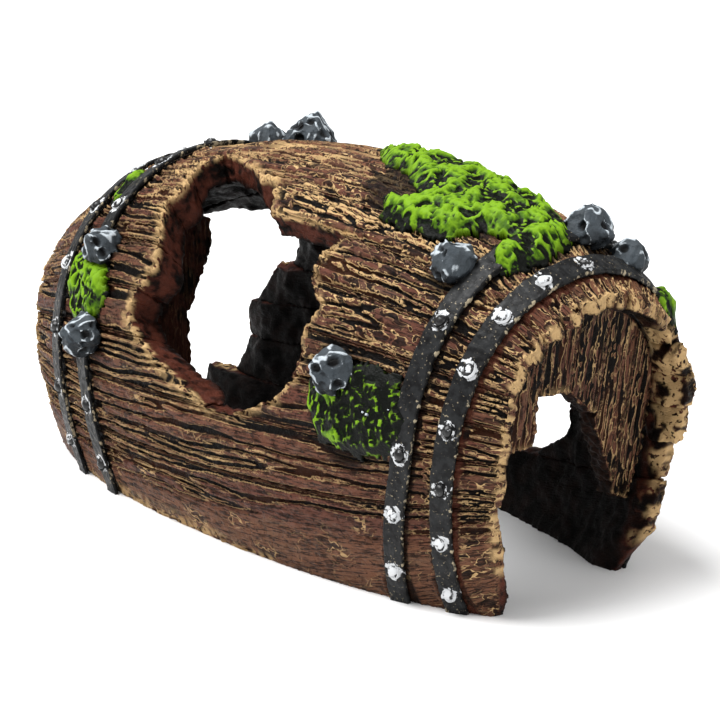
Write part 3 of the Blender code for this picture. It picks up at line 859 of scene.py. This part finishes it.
def forgeHoop(name):
    piece = copyNode(name, name.replace("hoop", "band"))
    mesh = piece.data
    u, turn, depth = toSkin(readPoints(mesh))
    # a rivet's tip stands proudest: its place is kept, then it is pressed flat
    tips = np.flatnonzero(depth / mm < hoops["top"] - hoops["tipProud"])
    places = [(u[k], turn[k]) for k in tips]
    depth = np.maximum(depth, (hoops["top"] - 0.02) * mm)
    writePoints(mesh, fromSkin(u, turn, depth))
    remesh(piece, hoops["voxel"])
    mesh = piece.data
    points = readPoints(mesh)
    u, turn, depth = toSkin(points)
    middle = (hoops["top"] + hoops["under"]) / 2 * mm
    topSide = smooth(0.1, -0.25, (depth - middle) / mm)
    along, around = u / mm, unrolled(turn)
    dents = hoops["dents"] * noise(along / 1.3, around / 1.3, 5) \
        + hoops["bends"] * noise(along / 5, around / 5, 8)
    depth = depth * (1 - topSide) + topSide * (hoops["top"] + dents) * mm
    u = u + hoops["waver"] * mm * noise(around / 2.2, along / 30, 12)
    moved = fromSkin(u, turn, depth)
    moved[:, 2] = np.where(points[:, 2] < 0.0006, 0, np.maximum(moved[:, 2], 0))
    writePoints(mesh, moved)
    byEdge = sample(distanceFrom(~coverMap([moved])), u, turn)
    writePlaces(mesh, "place", np.stack([along, around, depth / mm], 1))
    toRivet = np.full(len(u), np.inf)
    for alongTip, turnTip in places:
        toRivet = np.minimum(toRivet, np.hypot(along - alongTip / mm, around - unrolled(turnTip)))
    writeValues(mesh, border=np.clip(1 - byEdge / 1.1, 0, 1),
                dab=smooth(2.9, 1.6, toRivet) * (0.50 + 0.12 * noise(along / 9, around / 9, 3)))
    finishPiece(piece, ironMaterial, "hoop_iron", name)
    rivets = []
    for number, (alongTip, turnTip) in enumerate(places):
        foot, normal = seatOn(alongTip, turnTip, hoops["top"])
        rivets.append(placeRivet(foot - normal * hoops["rivetSink"], normal, number))
    if not rivets:
        return
    pick(rivets[0])
    for rivet in rivets:
        rivet.select_set(True)
    bpy.ops.object.join()
    rivets[0].name = name.replace("hoop", "rivets")
    rivets[0].data.materials.append(rivetMaterial)
    bpy.ops.object.shade_smooth_by_angle(angle=math.radians(50))
    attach(rivets[0], "root")


for name in hoopNames:
    forgeHoop(name)
bpy.data.objects.remove(rivetPattern)
print("hoops forged")

# ---- stones ----
stones = {
    "grow": 1.02, "voxel": 0.00026,
    "facets": 14, "facetFrom": 0.66, "facetTo": 0.84,    # how far out a facet is cut, of the radius
    "ridge": 0.45, "pitSize": 3.6, "pitDepth": 0.9,      # millimetres
    "narrow": 0.36, "squash": 0.95, "sink": 0.0006,
    "dark": srgb(30, 34, 38), "grey": srgb(84, 92, 98), "light": srgb(178, 186, 192),
    "black": srgb(9, 9, 10),
}


def makeStone():
    material, tree, shader = newMaterial("stonePaint", 0.5, 0.12)
    place = stretch(tree, objectPlace(tree), 1000.0, 1000.0, 1000.0)
    colour = blend(tree, fade(tree, grain(tree, place, 0.45, 4.0), 0.40, 0.60),
                   stones["dark"], stones["black"])
    brushed = useGroup(tree, dryBrush, Vector=place, Crest=fromMesh(tree, "crest"), Scale=1.0,
                       Ragged=0.16, Low=0.10, High=0.17)
    facing = fromMesh(tree, "lit")
    lit = fade(tree, plus(tree, facing, grain(tree, place, 0.45, 4.0, 0.65)), 0.72, 1.05)
    colour = blend(tree, times(tree, lit, 0.4), colour, stones["grey"])
    peak = plus(tree, fromMesh(tree, "vein"), times(tree, grain(tree, place, 1.6, 4.0, 0.7), 0.9))
    peak = fade(tree, peak, 1.0, 1.45)
    colour = blend(tree, times(tree, peak, 0.9), colour, stones["light"])
    colour = blend(tree, brushed["Crests"], colour, stones["light"])
    colour = blend(tree, brushed["Hollows"], colour, stones["black"])
    colour = blend(tree, fromMesh(tree, "pit"), colour, stones["black"])
    coat(tree, shader, colour, grain(tree, place, 1.6, 4.0), 0.8, 0.0004)
    return material


stoneMaterial = makeStone()


def carveStone(name, number):
    low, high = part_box(name)
    centre = (low + high) / 2
    u, turn = toSkin(np.array([centre]))[:2]
    normal = seatOn(u, turn, 0)[1]
    girth = max(high - low) * 0.5 * stones["grow"]
    bpy.ops.object.select_all(action="DESELECT")
    bpy.ops.mesh.primitive_ico_sphere_add(subdivisions=4, radius=girth)
    piece = bpy.context.object
    piece.name = name.replace("stone", "rock")
    bpy.ops.object.mode_set(mode="EDIT")
    dice = np.random.default_rng(100 + number)
    for _ in range(stones["facets"]):
        way = Vector(dice.normal(size=3))
        way.z = abs(way.z) * 0.8 + 0.1
        way.normalize()
        reach = dice.uniform(stones["facetFrom"], stones["facetTo"])
        bpy.ops.mesh.select_all(action="SELECT")
        bpy.ops.mesh.bisect(plane_co=way * girth * reach, plane_no=way, use_fill=True, clear_outer=True)
    bpy.ops.object.mode_set(mode="OBJECT")
    remesh(piece, stones["voxel"])
    mesh = piece.data
    points, normals = readPoints(mesh), readNormals(mesh)
    x, y, z = points.T / mm
    # ridges run down from the peak, which the facets narrow towards
    ridge = 1 - 2.2 * np.abs(noise(x / 2.6, y / 2.6, z / 4.5 + 3 * number))
    narrow = 1 - stones["narrow"] * smooth(0, girth / mm, z)
    lift = stones["ridge"] * ridge + 0.20 * noise(x / 2.0, y / 2.0, z / 2.0 + number) \
        + 0.10 * noise(x, y, z)
    size = stones["pitSize"]
    pit = smooth(0.40, 0.24, cellNoise(x / size, y / size, z / size + 4 * number))
    lift -= stones["pitDepth"] * pit
    points = points + normals * (lift * mm)[:, None]
    points[:, :2] *= narrow[:, None]
    points[:, 2] *= stones["squash"]
    turnTo = np.array(normal.to_track_quat("Z", "Y").to_matrix())
    seat = centre - normal * stones["sink"]
    writePoints(mesh, points @ turnTo.T + np.array(seat))
    vein = smooth(0.10, 0.95, ridge) * smooth(-0.5, 0.1, z / (girth / mm))
    vein *= smooth(-0.45, 0.1, noise(x / 2.5, y / 2.5, z / 2.5 + 9))
    writeValues(mesh, crest=crestOf(mesh), vein=vein * (1 - pit), pit=pit,
                lit=np.clip(0.5 + 0.5 * readNormals(mesh)[:, 2], 0, 1))
    finishPiece(piece, stoneMaterial, "stone_grey", name)


for number, name in enumerate(sorted(n for n in lumpNames if n.startswith("stone"))):
    carveStone(name, number)
print("stones carved")

# ---- moss ----
moss = {
    # lengths are in millimetres
    "spacing": 0.32, "thickness": 0.5, "margin": 1.5,
    "spread": 1.1,                           # a plain oval pad, of its node's size
    "wander": 1.3, "frill": 0.8,             # how far the outline strays, in long and in short waves
    "pitSize": 2.4, "smallPitSize": 1.1, "warp": 0.6,
    "clumps": 1.05, "lowest": 0.12, "under": 0.7,
    "thin": {"moss_near_front": 0.9},        # how far the crust is worn to strings at its front
    # outlines over the skin: millimetres along from the middle, degrees round
    "moss_top": ((9, 95), (20, 99), (34, 104), (48, 104), (56, 104), (65, 102), (70, 94), (69, 84),
                 (65, 77), (59, 75), (54, 66), (44, 62), (37, 63), (33, 71), (40, 75), (30, 82),
                 (20, 84)),
    "moss_near_front": ((38, 19), (47, 25), (54, 27), (60, 24), (64, 15), (62, 5), (55, 1),
                        (47, 2), (41, 5), (38, 12)),
    "moss_near_rear": ((-53, 38), (-43, 38), (-36, 33), (-34, 26), (-37, 19), (-43, 16), (-49, 19),
                       (-52, 27)),
    "green": srgb(58, 90, 9), "lime": srgb(106, 144, 24), "deep": srgb(20, 34, 5),
    "black": srgb(6, 8, 5),
}


def makeMoss():
    material, tree, shader = newMaterial("mossPaint", 0.45, 0.08)
    place = fromMesh(tree, "place", "Vector")
    tips = useGroup(tree, dryBrush, Vector=place, Crest=fromMesh(tree, "crest"), Scale=1.1,
                    Ragged=0.16, Low=0.05, High=0.16)
    uneven = times(tree, calc(tree, "SUBTRACT", grain(tree, place, 1.2), 0.5), 0.5)
    tall = plus(tree, fromMesh(tree, "tall"), uneven)
    colour = blend(tree, fade(tree, tall, 0.34, 0.52), moss["black"], moss["green"])
    colour = blend(tree, fade(tree, tall, 0.50, 0.85), colour, moss["lime"])
    colour = blend(tree, times(tree, tips["Crests"], fade(tree, tall, 0.1, 0.4)), colour, moss["lime"])
    colour = blend(tree, times(tree, tips["Hollows"], 0.8), colour, moss["deep"])
    colour = blend(tree, fromMesh(tree, "bare"), colour, moss["black"])
    coat(tree, shader, colour, grain(tree, place, 2.0, 4.0), 0.7, 0.0003)
    return material


mossMaterial = makeMoss()


def insideOf(outline, x, y):
    inside = np.zeros(len(x), bool)
    nearest = np.full(len(x), 1e9)
    for (x1, y1), (x2, y2) in zip(outline, outline[1:] + outline[:1]):
        crosses = (y1 > y) != (y2 > y)
        at = x1 + (y - y1) * (x2 - x1) / (y2 - y1 if y2 != y1 else 1e-9)
        inside ^= crosses & (x < at)
        length = (x2 - x1) ** 2 + (y2 - y1) ** 2
        share = np.clip(((x - x1) * (x2 - x1) + (y - y1) * (y2 - y1)) / length, 0, 1)
        nearest = np.minimum(nearest, np.hypot(x - x1 - share * (x2 - x1), y - y1 - share * (y2 - y1)))
    return np.where(inside, nearest, -nearest)


def growMoss(name, number):
    nodeU, nodeTurn, nodeDepth = toSkin(readPoints(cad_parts[name].data))
    height = -nodeDepth.min() / mm
    if name in moss:
        outline = [(u, unrolled(math.radians(a))) for u, a in moss[name]]
    else:
        midU, midS = nodeU.mean() / mm, unrolled(nodeTurn).mean()
        spread = moss["spread"]
        halfU, halfS = np.ptp(nodeU) / mm / 2 * spread, np.ptp(unrolled(nodeTurn)) / 2 * spread
        outline = [(midU + halfU * math.cos(a), midS + halfS * math.sin(a))
                   for a in np.linspace(0, 2 * math.pi, 12, endpoint=False)]
    low, high = np.min(outline, 0) - moss["margin"], np.max(outline, 0) + moss["margin"]
    columns, rows = (int(count) for count in (high - low) / moss["spacing"])
    bpy.ops.object.select_all(action="DESELECT")
    bpy.ops.mesh.primitive_grid_add(x_subdivisions=columns, y_subdivisions=rows, size=2)
    piece = bpy.context.object
    piece.name = name.replace("moss", "tuft")
    points = readPoints(piece.data)
    along = low[0] + (points[:, 0] + 1) / 2 * (high[0] - low[0])
    around = low[1] + (points[:, 1] + 1) / 2 * (high[1] - low[1])
    reach = insideOf(outline, along, around) + moss["wander"] * noise(along / 3.5, around / 3.5, number)
    reach += moss["frill"] * noise(along, around, number)
    writePoints(piece.data, np.stack([along, around, 0 * along], 1))
    selectWhere("VERT", piece.data.vertices, reach < 0)
    bpy.ops.mesh.delete(type="VERT")
    bpy.ops.object.mode_set(mode="OBJECT")
    modifier = piece.modifiers.new("thick", "SOLIDIFY")
    modifier.thickness = moss["thickness"]
    modifier.offset = -1
    bpy.ops.object.modifier_apply(modifier="thick")
    mesh = piece.data
    points = readPoints(mesh)
    along, around = points[:, 0], points[:, 1]
    top = points[:, 2] > -0.1
    reach = insideOf(outline, along, around)
    bed = smooth(-0.5, 3.0, reach)
    # a crust with pits eaten through it, between them a net of strings
    warpU, warpS = (moss["warp"] * noise(along / 1.8, around / 1.8, k) for k in (3, 13))
    size, small = moss["pitSize"], moss["smallPitSize"]
    pits = smooth(0.50, 0.28, cellNoise(along / size + warpU, around / size + warpS, number))
    smallPits = smooth(0.42, 0.2, cellNoise(along / small + warpU, around / small + warpS, number + 31))
    crust = smooth(-0.30, 0.35, noise(along / 6, around / 5, number * 3 + 37) + 0.08
                   - moss["thin"].get(name, 0) * smooth(44, 52, along))
    tall = np.clip(0.26 + 0.55 * crust - 0.85 * pits * (1.45 - 0.75 * crust) - 0.35 * smallPits
                   + 0.25 * noise(along / 1.3, around / 1.3, 43), 0, 1) * smooth(0.0, 1.0, reach + 0.3)
    clumps = 1.5 * tall + 0.4 * noise(along / 3, around / 3, 47) - 0.2
    rise = np.maximum(0.2 + bed * (height * 0.50 + moss["clumps"] * clumps), moss["lowest"])
    turn = math.pi / 2 + around * mm / barrel["unrolled"]
    places = fromSkin(along * mm, turn, np.where(top, -rise, moss["under"]) * mm)
    places[:, 2] = np.maximum(places[:, 2], 0)
    writePoints(mesh, places)
    pick(piece)
    bpy.ops.object.mode_set(mode="EDIT")
    bpy.ops.mesh.select_all(action="SELECT")
    bpy.ops.mesh.normals_make_consistent(inside=False)
    bpy.ops.object.mode_set(mode="OBJECT")
    bare = np.clip(1 - bed + 0.5 * noise(along / 2.5, around / 2.5, 41) - 0.2, 0, 1) ** 2
    writePlaces(mesh, "place", np.stack([along, around, rise], 1))
    writeValues(mesh, crest=crestOf(mesh, 2), bare=bare, tall=tall)
    finishPiece(piece, mossMaterial, "moss_green", name)


for number, name in enumerate(sorted(n for n in lumpNames if n.startswith("moss"))):
    growMoss(name, number)
print("moss grown")

# ---- floor, light and camera ----
studio = {
    "floorSize": 4.0, "floorWhite": 0.94, "world": 0.62,
    "keyPlace": (-0.15, -0.35, 0.95), "keySize": 0.7, "keyPower": 19.0,
    "fillPlace": (0.7, 0.1, 0.35), "fillSize": 0.5, "fillPower": 1.5,
    "azimuth": 51.02, "elevation": 15.71,
    "cameraPlace": (0.46746, -0.37226, 0.20150),    # from under the barrel's middle
    "lens": 144.4, "sensor": 36,
}

bpy.ops.object.select_all(action="DESELECT")
bpy.ops.mesh.primitive_plane_add(size=studio["floorSize"])
floor = bpy.context.object
floor.name = "floor"
floorMaterial, _, floorShader = newMaterial("floorPaper", 0.9, 0.2)
white = studio["floorWhite"]
floorShader.inputs["Base Color"].default_value = (white, white, white, 1)
floor.data.materials.append(floorMaterial)


def addLamp(name, place, size, power):
    lamp = bpy.data.lights.new(name, "AREA")
    lamp.size = size
    lamp.energy = power
    body = addObject(name, lamp)
    body.location = place
    body.rotation_euler = Vector(place).to_track_quat("Z", "Y").to_euler()


addLamp("keyLamp", studio["keyPlace"], studio["keySize"], studio["keyPower"])
addLamp("fillLamp", studio["fillPlace"], studio["fillSize"], studio["fillPower"])
world = bpy.data.worlds.new("studio")
bpy.context.scene.world = world
world.use_nodes = True
world.node_tree.nodes["Background"].inputs["Color"].default_value = (1, 1, 1, 1)
world.node_tree.nodes["Background"].inputs["Strength"].default_value = studio["world"]
bpy.context.scene.view_settings.view_transform = "Standard"

azimuth, elevation = math.radians(studio["azimuth"]), math.radians(studio["elevation"])
back = Vector((math.sin(azimuth) * math.cos(elevation), -math.cos(azimuth) * math.cos(elevation),
               math.sin(elevation)))
camera = bpy.data.cameras.new("camera")
camera.lens = studio["lens"]
camera.sensor_width = studio["sensor"]
camera.clip_start = 0.01
viewer = addObject("camera", camera)
viewer.location = Vector(studio["cameraPlace"]) + Vector((bilgeX, bilgeY, 0))
viewer.rotation_euler = back.to_track_quat("Z", "Y").to_euler()
bpy.context.scene.camera = viewer
